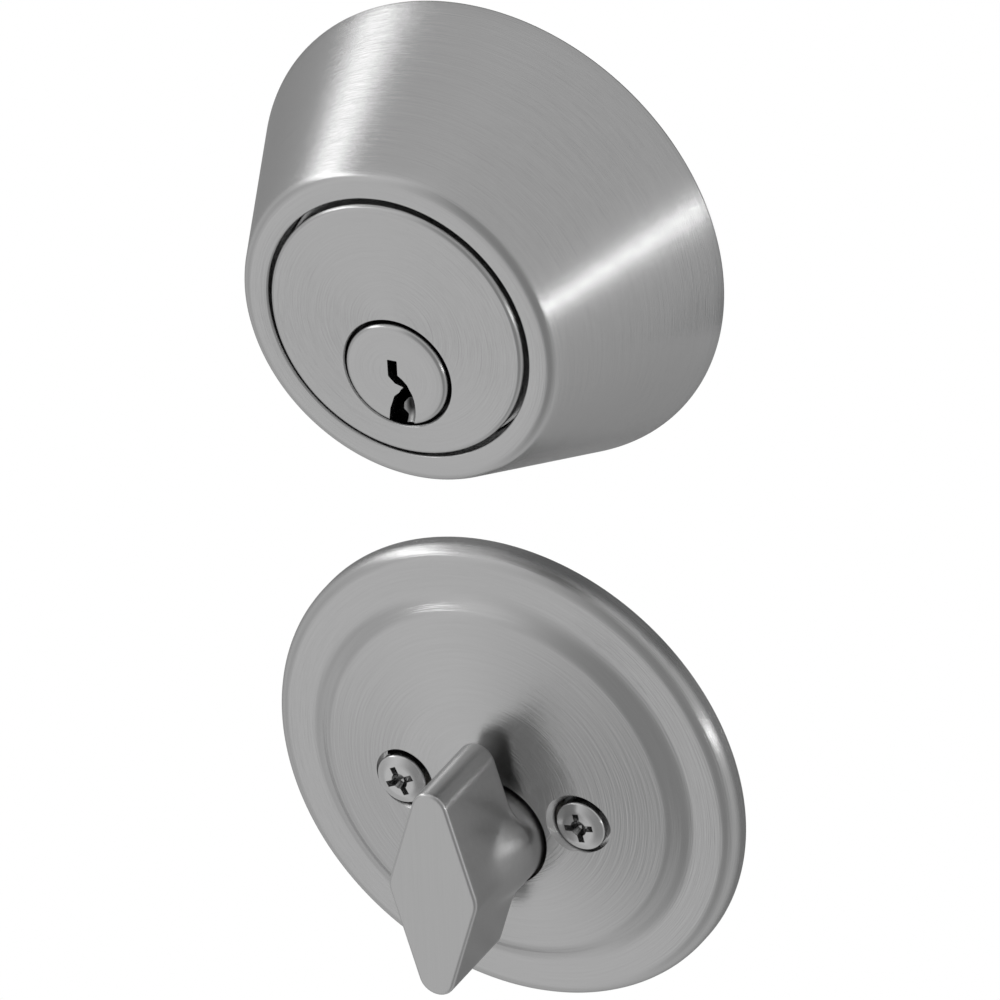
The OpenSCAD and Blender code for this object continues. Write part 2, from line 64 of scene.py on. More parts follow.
MM = 0.001
SEGMENTS = 288
AXIS_R = 0.01  # radius of a turned profile's first and last points, which stand for the axis
OVERCUT = 3.0  # how far a turned cutter runs past the surfaces that it opens
PIN_NUMBERS = range(1, 6)


# ---- Places taken from the frame, in millimetres ----


def node_box(name):
    """Lowest and highest corners of a CAD node."""
    return [np.array(corner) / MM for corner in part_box(name)]


def joint_centre(name):
    """X and Z of the axis of a hinge that turns about Y."""
    joint = next(j for j in frame["joints"] if j["name"] == name)
    return joint["pos_m"][0] / MM, joint["pos_m"][2] / MM


GUARD_LOW, GUARD_HIGH = node_box("guard_collar")
FACE_LOW, FACE_HIGH = node_box("cylinder_housing")
PLUG_LOW, PLUG_HIGH = node_box("plug")
ROSE_LOW, ROSE_HIGH = node_box("inside_rosette")
TURN_LOW, TURN_HIGH = node_box("thumbturn")
PLATE_LOW, PLATE_HIGH = node_box("faceplate")
BOLT_LOW, BOLT_HIGH = node_box("bolt_head")
GUARD_CENTRE = joint_centre("guard_spin")
PLUG_CENTRE = joint_centre("plug_turn")
TURN_CENTRE = joint_centre("thumbturn_turn")
ROSE_CENTRE = (0.0, (ROSE_LOW[2] + ROSE_HIGH[2]) / 2)
ROSE_R = ROSE_HIGH[0]
FACE_H = -FACE_LOW[1]
PLUG_H = -PLUG_LOW[1]
TURN_H = -TURN_LOW[1]
EDGE_CENTRE = (PLATE_LOW[1:] + PLATE_HIGH[1:]) / 2
BOLT_R = (BOLT_HIGH[2] - BOLT_LOW[2]) / 2


def screw_places():
    """Side, X and Z, and the heights of the head's top and of the tip, of the two long screws."""
    places = []
    for side in ("left", "right"):
        low, high = node_box("through_bolt_" + side)
        places.append((side, ((low[0] + high[0]) / 2, (low[2] + high[2]) / 2), -low[1], -high[1]))
    return places


# ---- Outlines ----


def filleted(corners, closed=True, steps=7):
    """Outline with round corners. corners are (x, y, radius). At each corner the arc touches both
    sides at radius * tan(half the turn) from the corner, and its middle is on the corner's bisector."""
    points = []
    count = len(corners)
    for i, (x, y, radius) in enumerate(corners):
        here = np.array([x, y], float)
        if radius == 0 or (not closed and i in (0, count - 1)):
            points.append(here)
            continue
        before = np.array(corners[i - 1][:2], float) - here
        after = np.array(corners[(i + 1) % count][:2], float) - here
        before /= np.linalg.norm(before)
        after /= np.linalg.norm(after)
        half = math.acos(np.clip(before @ after, -1, 1)) / 2
        middle = here + (before + after) / np.linalg.norm(before + after) * radius / math.sin(half)
        start = here + before * radius / math.tan(half) - middle
        end = here + after * radius / math.tan(half) - middle
        sweep = math.atan2(start[0] * end[1] - start[1] * end[0], start @ end)
        for t in np.linspace(0, sweep, steps + 1):
            turn = np.array([[math.cos(t), -math.sin(t)], [math.sin(t), math.cos(t)]])
            points.append(middle + turn @ start)
    return np.array(points)


def refined(points, longest, closed=True):
    """The same outline with its long sides cut into equal steps no longer than the given length."""
    ends = np.roll(points, -1, axis=0) if closed else points[1:]
    result = []
    for a, b in zip(points, ends):
        n = max(1, int(np.linalg.norm(b - a) / longest))
        result.append(a + (b - a) * np.arange(n)[:, None] / n)
    if not closed:
        result.append(points[-1:])
    return np.concatenate(result)


def outline_normals(points):
    """Unit normals that point out of a closed outline drawn anticlockwise: the chord between each
    point's neighbours, turned back by a right angle."""
    along = np.roll(points, -1, axis=0) - np.roll(points, 1, axis=0)
    normals = np.stack([along[:, 1], -along[:, 0]], axis=1)
    return normals / np.linalg.norm(normals, axis=1, keepdims=True)


def circle(segments):
    """A circle of radius 1, drawn anticlockwise."""
    angle = np.arange(segments) * math.tau / segments
    return np.stack([np.cos(angle), np.sin(angle)], axis=1)


# ---- Meshes ----


def write_mesh(name, points, faces, sharp=32.0):
    """A smooth-shaded object from points in millimetres. The faces are turned round if the volume
    that they enclose, the sum of a.(b x c)/6 over their triangles, comes out negative."""
    points = np.asarray(points, float)
    volume = 0.0
    for group in faces:
        corners = points[group]
        for k in range(1, group.shape[1] - 1):
            across = np.cross(corners[:, k], corners[:, k + 1])
            volume += np.einsum("ij,ij->i", corners[:, 0], across).sum()
    groups = [g[:, ::-1] if volume < 0 else g for g in faces]
    mesh = bpy.data.meshes.new(name)
    mesh.from_pydata((points * MM).tolist(), [], [face for g in groups for face in g.tolist()])
    mesh.shade_smooth()
    mesh.set_sharp_from_angle(angle=math.radians(sharp))
    piece = bpy.data.objects.new(name, mesh)
    bpy.context.scene.collection.objects.link(piece)
    return piece


def grid_mesh(name, rings, ends="middle", sharp=32.0):
    """Closed surface through rings, an array of ring, point, xyz. Each ring joins the next with
    quads. The ends "middle" closes each end ring on its middle point, "flat" with one flat face, and
    "loop" joins the last ring to the first."""
    count, around = rings.shape[:2]
    points = rings.reshape(-1, 3)
    i = np.arange(count if ends == "loop" else count - 1)[:, None]
    j = np.arange(around)[None, :]
    here, ahead = i * around, (i + 1) % count * around
    right = (j + 1) % around
    quads = np.stack([here + j, here + right, ahead + right, ahead + j], axis=-1).reshape(-1, 4)
    faces = [quads]
    if ends == "flat":
        first = np.arange(around)[::-1]
        faces += [first[None, :], (count - 1) * around + first[None, ::-1]]
    if ends == "middle":
        middles = np.stack([rings[0].mean(axis=0), rings[-1].mean(axis=0)])
        points = np.concatenate([points, middles])
        j = np.arange(around)
        right = (j + 1) % around
        last = (count - 1) * around
        first_fan = np.stack([right, j, np.full(around, count * around)], axis=1)
        last_fan = np.stack([last + j, last + right, np.full(around, count * around + 1)], axis=1)
        faces += [first_fan, last_fan]
    return write_mesh(name, points, faces, sharp)


def turned(name, profile, centre, segments=SEGMENTS, ends="middle", sharp=32.0):
    """Profile of [radius, height] carried round a line along Y: x = cx + r cos a, y = -h,
    z = cz + r sin a."""
    angle = np.arange(segments) * math.tau / segments
    radius, height = profile[:, :1], profile[:, 1:]
    x = centre[0] + radius * np.cos(angle)
    z = centre[1] + radius * np.sin(angle)
    y = np.broadcast_to(-height, x.shape)
    return grid_mesh(name, np.stack([x, y, z], axis=-1), ends, sharp)


def carried(name, outline, rows, place, sharp=32.0):
    """Outline moved inwards by each row's inset along its normals, drawn together by its scale, and
    set at its height: point = (p - inset n) scale. place turns u, v, height into x, y, z."""
    normals = outline_normals(outline)
    rings = []
    for inset, height, scale in rows:
        flat = (outline - inset * normals) * scale
        rings.append(place(flat[:, 0], flat[:, 1], np.full(len(flat), float(height))))
    return grid_mesh(name, np.array(rings), "flat", sharp)


def facing_front(centre):
    """Places u along X and v along Z about a centre, with heights in front of the door."""
    return lambda u, v, h: np.stack([centre[0] + u, -h, centre[1] + v], axis=-1)


def facing_up(centre):
    """Places u along X and v along Y about a centre, with heights along Z."""
    return lambda u, v, h: np.stack([centre[0] + u, centre[1] + v, h], axis=-1)


def facing_edge(centre):
    """Places u along Y and v along Z about a centre, with heights along X."""
    return lambda u, v, h: np.stack([h, centre[0] + u, centre[1] + v], axis=-1)


def bar(name, width, length, low, high, place, taper=0.0):
    """A flat-sided bar from height low to high. At its low end its sides are drawn in by the taper,
    and its ends by 1.6 tapers."""
    end_share = 1.6
    rings = []
    for height, inset in ((low, taper), (high, 0.0)):
        u, v = width / 2 - inset, length / 2 - end_share * inset
        rings.append(place(np.array([-u, u, u, -u]), np.array([-v, -v, v, v]), np.full(4, float(height))))
    return grid_mesh(name, np.array(rings), "flat")


def cut(piece, cutters, sharp=32.0, join=()):
    """Takes the cutters out of a piece and adds the joined ones, then removes them all."""
    for operation, tools in (("UNION", join), ("DIFFERENCE", cutters)):
        for tool in tools:
            change = piece.modifiers.new("change", "BOOLEAN")
            change.operation = operation
            change.solver = "EXACT"
            change.object = tool
    graph = bpy.context.evaluated_depsgraph_get()
    mesh = bpy.data.meshes.new_from_object(piece.evaluated_get(graph))
    piece.modifiers.clear()
    piece.data = mesh
    mesh.shade_smooth()
    mesh.set_sharp_from_angle(angle=math.radians(sharp))
    for tool in (*join, *cutters):
        bpy.data.objects.remove(tool)
    even = piece.modifiers.new("even_normals", "WEIGHTED_NORMAL")
    even.keep_sharp = True
    return piece


# ---- Shader values ----


class Value:
    """A shader value. Arithmetic on it adds Math nodes."""

    def __init__(self, tree, socket):
        self.tree = tree
        self.socket = socket

    def math(self, operation, *values):
        return node(self.tree, "ShaderNodeMath", {"operation": operation}, *values)

    def __add__(self, other):
        return self.math("ADD", self, other)

    def __radd__(self, other):
        return self.math("ADD", other, self)

    def __sub__(self, other):
        return self.math("SUBTRACT", self, other)

    def __rsub__(self, other):
        return self.math("SUBTRACT", other, self)

    def __mul__(self, other):
        return self.math("MULTIPLY", self, other)

    def __rmul__(self, other):
        return self.math("MULTIPLY", other, self)

    def __pow__(self, other):
        return self.math("POWER", self, other)


def node(tree, kind, settings, *values, output=0, **named):
    """A node of one kind, with its settings and then its inputs set, by order or by name."""
    made = tree.nodes.new(kind)
    for key, setting in settings.items():
        setattr(made, key, setting)
    pairs = [*enumerate(values), *((key.replace("_", " "), value) for key, value in named.items())]
    for key, value in pairs:
        if isinstance(value, Value):
            tree.links.new(value.socket, made.inputs[key])
        else:
            made.inputs[key].default_value = value
    return Value(tree, made.outputs[output])


def new_material(name, colour, metallic):
    """A material with its tree, its surface shader, and the object's x, y and z as values."""
    material = bpy.data.materials.new(name)
    material.use_nodes = True
    tree = material.node_tree
    surface = tree.nodes["Principled BSDF"]
    surface.inputs["Base Color"].default_value = (*colour, 1)
    surface.inputs["Metallic"].default_value = metallic
    place = node(tree, "ShaderNodeTexCoord", {}, output=3)
    split = node(tree, "ShaderNodeSeparateXYZ", {}, place)
    outputs = split.socket.node.outputs
    return material, tree, surface, place, [Value(tree, outputs[i]) for i in range(3)]


def noise(tree, place, scale, detail=2.0, roughness=0.5):
    """Soft noise from 0 to 1 about a middle of 0.5."""
    settings = {"Vector": place, "Scale": scale, "Detail": detail, "Roughness": roughness}
    return node(tree, "ShaderNodeTexNoise", {}, **settings)


def mix_colours(tree, share, first, second):
    """The first colour where the share is 0, and the second where it is 1."""
    mixed = node(tree, "ShaderNodeMix", {"data_type": "RGBA"}, share, output=2)
    for socket, colour in zip(mixed.socket.node.inputs[6:8], (first, second)):
        if isinstance(colour, Value):
            tree.links.new(colour.socket, socket)
        else:
            socket.default_value = (*colour, 1)
    return mixed


def finish_surface(tree, surface, colour, shade, roughness, height, depth, bore_shade=0.0):
    """Feeds a varying shade into the colour, darkened inside bores by painted shade, and the roughness
    and bump into the surface."""
    # The second share sets how dark the painted shade inside bores is, against the colour.
    dark_share, bore_shade_share = 0.84, 0.06
    mixed = mix_colours(tree, shade, tuple(dark_share * c for c in colour), colour)
    if isinstance(bore_shade, Value):
        mixed = mix_colours(tree, bore_shade, mixed, tuple(bore_shade_share * c for c in colour))
    tree.links.new(mixed.socket, surface.inputs["Base Color"])
    tree.links.new(roughness.socket, surface.inputs["Roughness"])
    bump = node(tree, "ShaderNodeBump", {}, Strength=1.0, Distance=depth, Height=height)
    tree.links.new(bump.socket, surface.inputs["Normal"])


def soft_step(value, edge, width):
    """0 below an edge and 1 above it, with a straight slope of the given width between."""
    return node(value.tree, "ShaderNodeClamp", {}, (value - edge) * (1 / width) + 0.5, 0.0, 1.0)


def turned_satin(name, colour, centre, line=0.2, depth=0.04, rough=0.24, bore=None):
    """Satin nickel brushed in circles about an axis along Y. The lines are noise that is fast in
    radius + 2.3 height and slow along the circle. line is their width and depth their depth, in mm.
    bore is the centre, radius and height of a bore whose inside is painted dark as shade."""
    material, tree, surface, place, (x, y, z) = new_material(name, colour, 1.0)
    across, up = x - centre[0] * MM, z - centre[1] * MM
    radius = (across * across + up * up) ** 0.5
    height_share, slow = 2.3, 90.0
    along = (radius - y * height_share) * (1 / (line * MM))
    streak_place = node(tree, "ShaderNodeCombineXYZ", {}, along, across * slow, up * slow)
    lines = noise(tree, streak_place, 1.0, 3.0, 0.6)
    cloud = noise(tree, place, 60.0, 2.0)
    shade = lines * 0.7 + cloud * 0.3
    bore_shade = 0.0
    # Painted shade: inside the bore's radius and below its height the colour is darkened as if in shadow.
    if bore:
        (bore_x, bore_z), bore_r, bore_h = bore
        side, rise = x - bore_x * MM, z - bore_z * MM
        outside = soft_step((side * side + rise * rise) ** 0.5, bore_r * MM, 0.05 * MM)
        bore_shade = (1.0 - outside) * soft_step(y, -bore_h * MM, 0.3 * MM)
    finish_surface(
        tree, surface, colour, shade, rough - 0.06 + lines * 0.08 + cloud * 0.04, lines, depth * MM, bore_shade
    )
    return material


def straight_satin(name, colour, along, line=0.3, depth=0.015, rough=0.28, metallic=1.0):
    """Metal brushed in straight lines. along holds how much of x, y and z a line crosses: near 0 for
    the way that the lines run, and 1 across them."""
    material, tree, surface, place, axes = new_material(name, colour, metallic)
    stretched = [axis * (share / (line * MM)) for axis, share in zip(axes, along)]
    lines = noise(tree, node(tree, "ShaderNodeCombineXYZ", {}, *stretched), 1.0, 2.0, 0.6)
    cloud = noise(tree, place, 80.0, 2.0)
    finish_surface(
        tree, surface, colour, lines * 0.6 + cloud * 0.4, rough - 0.06 + lines * 0.08 + cloud * 0.05,
        lines, depth * MM,
    )
    return material


def grained(name, colour, metallic, scale, depth, rough):
    """An even, fine-grained surface: cast, plated, drawn or moulded."""
    material, tree, surface, place, _ = new_material(name, colour, metallic)
    grain = noise(tree, place, scale, 3.0, 0.6)
    cloud = noise(tree, place, 120.0, 2.0)
    finish_surface(tree, surface, colour, cloud, rough - 0.05 + grain * 0.1, grain, depth * MM)
    return material


def dress(piece, material):
    """Puts one material on a piece."""
    piece.data.materials.clear()
    piece.data.materials.append(material)


def dress_node(name, material):
    """Puts one material on a CAD node."""
    piece = frame["nodes"][name]
    if not piece.material_slots:
        piece.data.materials.append(material)
    for slot in piece.material_slots:
        slot.material = material


def fit(piece, material, body, slot, *nodes):
    """Dresses a piece, lets it ride on a body and stands it for CAD nodes."""
    dress(piece, material)
    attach(piece, body)
    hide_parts(*nodes)


# ---- Sizes that a user would change ----


def length(name, default, description):
    """A length in millimetres."""
    return bpy.props.FloatProperty(name=name, default=default, description=description, min=0.0)


class DeadboltSizes(bpy.types.PropertyGroup):
    """Sizes of the pieces' details, in millimetres."""

    guard_front_r: length("Guard front radius", 22.3, "Radius of the guard's sharp front corner")
    guard_wall: length("Guard wall", 3.0, "Thickness of the guard's wall")
    guard_round: length("Guard edge", 1.8, "Radius of the guard's front edge")
    face_gap: length("Face gap", 0.6, "Gap between the cylinder's face and the guard")
    plug_gap: length("Plug gap", 0.4, "Gap between the plug and the cylinder's face")
    well_r: length("Screw well radius", 4.0, "Radius of the wells round the screws")
    hub_gap: length("Hub gap", 0.4, "Gap between the thumbturn's hub and the rosette")
    skin: length("Rosette thickness", 1.1, "Thickness of the rosette's sheet")
    apex_round: length("Turn end radius", 2.6, "Radius of the thumbturn blade's ends")
    side_round: length("Turn side radius", 4.0, "Radius of the thumbturn blade's sides")
    turn_edge: length("Turn edge", 0.45, "Radius of the thumbturn blade's edges")


class DeadboltLook(bpy.types.PropertyGroup):
    """Colours and light."""

    nickel: bpy.props.FloatVectorProperty(
        name="Nickel", default=(0.60, 0.60, 0.60), subtype="COLOR", description="Colour of the satin nickel"
    )
    zinc: bpy.props.FloatVectorProperty(
        name="Zinc", default=(0.62, 0.63, 0.64), subtype="COLOR", description="Colour of the plated steel"
    )
    brass: bpy.props.FloatVectorProperty(
        name="Brass", default=(0.78, 0.60, 0.30), subtype="COLOR", description="Colour of the brass"
    )
    studio: bpy.props.FloatProperty(
        name="Studio light", default=0.6, min=0.0, description="Brightness of the studio round the lock"
    )


# ---- Pieces ----


def guard_profile(sizes):
    """Radius and height of the guard's section: a straight taper with a round front edge, the wide
    counterbore that the cylinder's face sits in, its ledge, and the hollow behind it."""
    low, top = -GUARD_HIGH[1], -GUARD_LOW[1]
    front = sizes.guard_front_r
    face_r = FACE_HIGH[0] + sizes.face_gap
    taper = (ROSE_R - front) / top
    seat_depth, ledge_t, ledge_w, rim_bore_h = 4.3, 2.6, 1.5, 1.4
    ledge = top - seat_depth
    ledge_low = ledge - ledge_t
    ledge_r = face_r - ledge_w
    wall = sizes.guard_wall
    rim_bore_r = ROSE_R - taper * rim_bore_h - wall
    corners = [
        (ROSE_R - taper * low, low, 0.25), (front, top, sizes.guard_round), (face_r, top, 0.3),
        (face_r, ledge, 0.2), (ledge_r, ledge, 0.2), (ledge_r, ledge_low, 0.2),
        (ROSE_R - taper * ledge_low - wall, ledge_low, 0.8), (rim_bore_r, rim_bore_h, 0.2),
        (rim_bore_r, low, 0.2),
    ]
    return refined(filleted(corners), 1.5)


def rosette_profile(sizes):
    """Radius and height of the rosette's section: an upright side, a round rim, a band that rises
    slowly, a round step, and a shallow cone that flattens at its middle, then the same inside."""
    top, skin, r = -ROSE_LOW[1], sizes.skin, ROSE_R
    crown_r, crown_top_r, crown_h = r * 0.39, r * 0.1, top - 0.72
    outer = [
        (r, 0.0, 0.15), (r, 3.35, 2.2), (r * 0.805, 3.75, 4.0), (r * 0.742, 5.2, 2.6),
        (crown_r, crown_h, 14.0), (crown_top_r, top, 10.0), (AXIS_R, top, 0),
    ]
    inner = [
        (AXIS_R, top - skin, 0), (crown_top_r, top - skin, 6.0), (crown_r, crown_h - skin, 10.0),
        (r * 0.735 - 0.6, 5.15 - skin, 0.5), (r * 0.79 - 0.4, 3.7 - skin, 0.5),
        (r - skin, 3.1 - skin, 1.0), (r - skin, 0.0, 0.15),
    ]
    return refined(filleted(outer + inner, closed=False, steps=9), 1.2, closed=False)


def turn_outline(sizes):
    """The thumbturn blade's outline: a long rhombus with round ends and soft sides, drawn
    anticlockwise. A corner's arc cuts it short by radius (1 / sin half - 1), which is added back."""
    width_per_length = 12.8 / 31.0
    tall = half_l = (TURN_HIGH[2] - TURN_LOW[2]) / 2
    wide = half_w = half_l * width_per_length
    for _ in range(9):
        lean = math.atan2(wide, tall)
        tall = half_l + sizes.apex_round * (1 / math.sin(lean) - 1)
        wide = half_w + sizes.side_round * (1 / math.cos(lean) - 1)
    corners = [(wide, 0, sizes.side_round), (0, tall, sizes.apex_round)]
    corners += [(-wide, 0, sizes.side_round), (0, -tall, sizes.apex_round)]
    return refined(filleted(corners, steps=14), 0.45)


def make_guard(sizes):
    """The outside guard, turned about its own axis."""
    return turned("guard", guard_profile(sizes), GUARD_CENTRE, ends="loop")


def make_face(sizes):
    """The key cylinder: a round face in front of a round body, bored for the plug, the tailpiece's
    recess and the two threaded posts."""
    back, past = -FACE_HIGH[1], -FACE_HIGH[1] - 2
    face_r, face_back = FACE_HIGH[0], FACE_H - 4.1
    body_r, neck_r, neck_top = 17.0, 16.4, 1.5
    corners = [
        (AXIS_R, back, 0), (neck_r, back, 0.4), (neck_r, neck_top, 0), (body_r, neck_top, 0.2),
        (body_r, face_back, 0.2), (face_r, face_back, 0.3), (face_r, FACE_H, 0.7), (AXIS_R, FACE_H, 0),
    ]
    profile = refined(filleted(corners, closed=False), 1.2, closed=False)
    piece = turned("cylinder_face", profile, GUARD_CENTRE)
    flange_r, flange_back = PLUG_HIGH[0] + sizes.plug_gap, FACE_H - 2.4
    flare_r = flange_r + 0.4
    plug_bore_r, recess_r, recess_top = 6.4, 8.4, 1.5
    bore = [
        (AXIS_R, FACE_H + OVERCUT, 0), (flare_r, FACE_H + OVERCUT, 0), (flare_r, FACE_H + 0.25, 0),
        (flange_r, FACE_H - 0.2, 0.25), (flange_r, flange_back, 0), (plug_bore_r, flange_back, 0),
        (plug_bore_r, recess_top, 0), (recess_r, recess_top, 0), (recess_r, past, 0), (AXIS_R, past, 0),
    ]
    cutters = [turned("bore", filleted(bore, closed=False, steps=5), PLUG_CENTRE, 192)]
    post_r, post_top = 2.05, 14.0
    post = np.array([(AXIS_R, post_top), (post_r, post_top - 0.8), (post_r, past), (AXIS_R, past)])
    for _, (x, z), _, _ in screw_places():
        cutters.append(turned("post", post, (x, z - TURN_CENTRE[1]), 48))
    return cut(piece, cutters)


def keyway_outline():
    """The key's way in the plug's face: a narrow slot above, a step to the right past the left ward,
    and a wide foot with a round ward standing into it from the right."""
    corners = [
        (0.25, 2.2, 0.12), (-1.15, 2.1, 0.12), (-1.1, -0.35, 0.25), (-0.15, -1.25, 0.2), (1.15, -1.55, 0.15),
        (0.75, -2.15, 0.3), (-0.3, -3.2, 0.6), (-0.95, -5.2, 1.5), (-1.2, -7.2, 0), (-1.2, -9.0, 0),
        (1.05, -9.0, 0), (1.05, -6.3, 0.25), (0.5, -5.5, 0.6), (0.5, -4.6, 0.6), (1.05, -3.85, 0.35),
        (1.85, -3.7, 0.2), (2.1, -2.0, 0.4), (1.65, -1.1, 0.4), (0.95, -0.4, 0.3), (0.28, 0.05, 0.25),
    ]
    return filleted(corners, steps=4)


def make_scoop():
    """An ellipsoid beside the keyway's foot: a ball of radius 1, stretched and then moved."""
    pole = 0.02
    arc = np.linspace(pole, math.pi - pole, 40)
    scoop = turned("scoop", np.stack([np.sin(arc), np.cos(arc)], axis=1), (0.0, 0.0), 64)
    stretch = np.array([1.35, 2.0, 3.3]) * MM
    middle = np.array([PLUG_CENTRE[0] + 1.4, -PLUG_H - 0.4, PLUG_CENTRE[1] - 4.7]) * MM
    places = np.empty(len(scoop.data.vertices) * 3)
    scoop.data.vertices.foreach_get("co", places)
    scoop.data.vertices.foreach_set("co", (places.reshape(-1, 3) / MM * stretch + middle).ravel())
    return scoop


def make_chambers(top):
    """The holes that the five pins slide in, from below their lowest places up to a height along Z."""
    clearance, travel = 0.08, 1.6
    chambers = []
    for i in PIN_NUMBERS:
        low, high = node_box(f"pin_{i}")
        outline = ((high[0] - low[0]) / 2 + clearance) * circle(32)
        rows = [(0.0, low[2] - travel, 1.0), (0.0, top, 1.0)]
        chambers.append(carried("chamber", outline, rows, facing_up((low[:2] + high[:2]) / 2)))
    return chambers


def make_lug(back, front):
    """The part of a ring behind the plug that drives the tailpiece."""
    outer_r, inner_r = 7.9, 2.5
    arc = np.radians(np.linspace(70, 110, 12))
    way = np.stack([np.cos(arc), np.sin(arc)], axis=1)
    outline = np.concatenate([outer_r * way, inner_r * way[::-1]])
    return carried("lug", outline, [(0.0, back, 1.0), (0.0, front, 1.0)], facing_front(PLUG_CENTRE))


def make_plug():
    """The plug, with its flange, keyway, the scoop beside the keyway, and its rear boss and lug."""
    back = -PLUG_HIGH[1]
    flange_r, flange_back = PLUG_HIGH[0], FACE_H - 2.2
    plug_r, plug_back = 6.35, 1.3
    neck_r, neck_back = plug_r - 1.5, 0.0
    boss_r = 3.0
    corners = [
        (AXIS_R, back, 0), (boss_r, back, 0.2), (boss_r, neck_back, 0), (neck_r, neck_back, 0),
        (neck_r, plug_back, 0), (plug_r, plug_back, 0.2), (plug_r, flange_back, 0),
        (flange_r, flange_back, 0.15), (flange_r, PLUG_H, 0.6), (AXIS_R, PLUG_H, 0),
    ]
    profile = refined(filleted(corners, closed=False), 1.2, closed=False)
    piece = turned("plug_face", profile, PLUG_CENTRE, 192)
    key_rows = [(0.0, 3.0, 1.0), (0.0, PLUG_H + 2.0, 1.0)]
    keyway = carried("keyway", refined(keyway_outline(), 0.4), key_rows, facing_front(PLUG_CENTRE))
    chambers = make_chambers(PLUG_CENTRE[1] + plug_r + 1.0)
    return cut(piece, [keyway, make_scoop(), *chambers], join=[make_lug(back, 0.2)])


def make_rosette(sizes):
    """The inside rosette, with its wells round the screws and its hole round the thumbturn's hub."""
    piece = turned("rosette", rosette_profile(sizes), ROSE_CENTRE, 320, ends="loop")
    top, above, below = -ROSE_LOW[1], -ROSE_LOW[1] + OVERCUT, -OVERCUT
    hub_r, surface = TURN_HIGH[0] + sizes.hub_gap, top - 0.2
    hub_flare_r = hub_r + 0.7
    hub = [
        (AXIS_R, below, 0), (hub_r, below, 0), (hub_r, surface - 0.45, 0.35),
        (hub_flare_r, surface + 0.25, 0), (hub_flare_r, above, 0), (AXIS_R, above, 0),
    ]
    cutters = [turned("hub_hole", filleted(hub, closed=False), TURN_CENTRE, 128)]
    well_r, floor, shank_r, surface = sizes.well_r, 5.6, 2.2, top - 0.78
    well_flare_r = well_r + 0.9
    well = [
        (AXIS_R, below, 0), (shank_r, below, 0), (shank_r, floor, 0), (well_r, floor, 0),
        (well_r, surface - 0.45, 0.8), (well_flare_r, surface + 0.35, 0), (well_flare_r, above, 0),
        (AXIS_R, above, 0),
    ]
    for _, centre, _, _ in screw_places():
        cutters.append(turned("well", filleted(well, closed=False), centre, 96))
    return cut(piece, cutters)


def turn_rings(sizes):
    """Rings of the thumbturn from the back of its shaft to the middle of its front. A row holds the
    inset n and the share s of the blade's outline, the hub's radius r, and the height. The distance
    from the axis is (blade^p + r^p)^(1/p), a soft form of the larger of the two."""
    outline = turn_outline(sizes)
    normals = outline_normals(outline)
    soft = 22.0
    hub_r = TURN_HIGH[0]
    shaft_r = hub_r - 1.6
    groove_r = shaft_r - 0.6
    shaft_back = -TURN_HIGH[1]
    blade_back = TURN_H - 13.6
    edge, shaft_edge = sizes.turn_edge, 0.3
    groove_top, groove_low, shoulder = -1.3, -2.1, 5.3
    rows = [(0.0, 0.0, radius, height) for radius, height in (
        (0.3, shaft_back), (shaft_r - shaft_edge, shaft_back), (shaft_r, shaft_back + shaft_edge),
        (shaft_r, groove_low), (groove_r, groove_low), (groove_r, groove_top), (shaft_r, groove_top),
        (shaft_r, shoulder), (hub_r - shaft_edge, shoulder), (hub_r, shoulder + shaft_edge),
        (hub_r, shoulder + 2.2), (hub_r, blade_back - 1.5), (hub_r, blade_back - 0.05),
    )]

    def hub_at(height):
        """The hub's radius falls away by 2 t^1.5, where t is the height above the blade's back over 9.5."""
        return hub_r - 2.0 * (max(height - blade_back, 0.0) / 9.5) ** 1.5

    for share in (0.3, 0.55, 0.75, 0.9):
        rows.append((edge, share, hub_r, blade_back))
    for t in np.linspace(0, math.pi / 2, 6):
        height = blade_back + edge * (1 - math.cos(t))
        rows.append((edge * (1 - math.sin(t)), 1.0, hub_at(height), height))
    for height in np.linspace(blade_back + edge, TURN_H - edge, 26)[1:]:
        rows.append((0.0, 1.0, hub_at(height), height))
    for t in np.linspace(0, math.pi / 2, 7)[1:]:
        rows.append((edge * (1 - math.cos(t)), 1.0, 0.0, TURN_H - edge * (1 - math.sin(t))))
    for share in (0.985, 0.96, 0.9, 0.75, 0.55, 0.35, 0.15):
        rows.append((edge, share, 0.0, TURN_H))
    rings = []
    for inset, share, radius, height in rows:
        blade = outline - inset * normals
        length_out = np.linalg.norm(blade, axis=1, keepdims=True)
        reach = ((length_out * share) ** soft + radius**soft) ** (1 / soft)
        flat = blade / length_out * reach
        rings.append(facing_front(TURN_CENTRE)(flat[:, 0], flat[:, 1], np.full(len(flat), height)))
    return np.array(rings)


def make_thumbturn(sizes):
    """The thumbturn, with the slot for the tailpiece in the back of its shaft."""
    piece = grid_mesh("turn", turn_rings(sizes), sharp=38.0)
    slot_w, slot_l, slot_end = 2.6, 7.0, 9.0
    slot = bar("tail_slot", slot_w, slot_l, -slot_end, slot_end, facing_front(TURN_CENTRE))
    return cut(piece, [slot], sharp=38.0)


def cross_arms(centre, head_top, turn_deg):
    """The two crossed bars, tapered downwards, that cut the recess in a screw's head."""
    arms = []
    for turn in (math.radians(turn_deg), math.radians(turn_deg + 90)):

        def place(u, v, h):
            return np.stack([
                centre[0] + u * math.cos(turn) - v * math.sin(turn), -h,
                centre[1] + u * math.sin(turn) + v * math.cos(turn),
            ], axis=-1)

        arms.append(bar("arm", 0.95, 4.3, head_top - 1.9, head_top + 0.3, place, taper=0.28))
    return arms


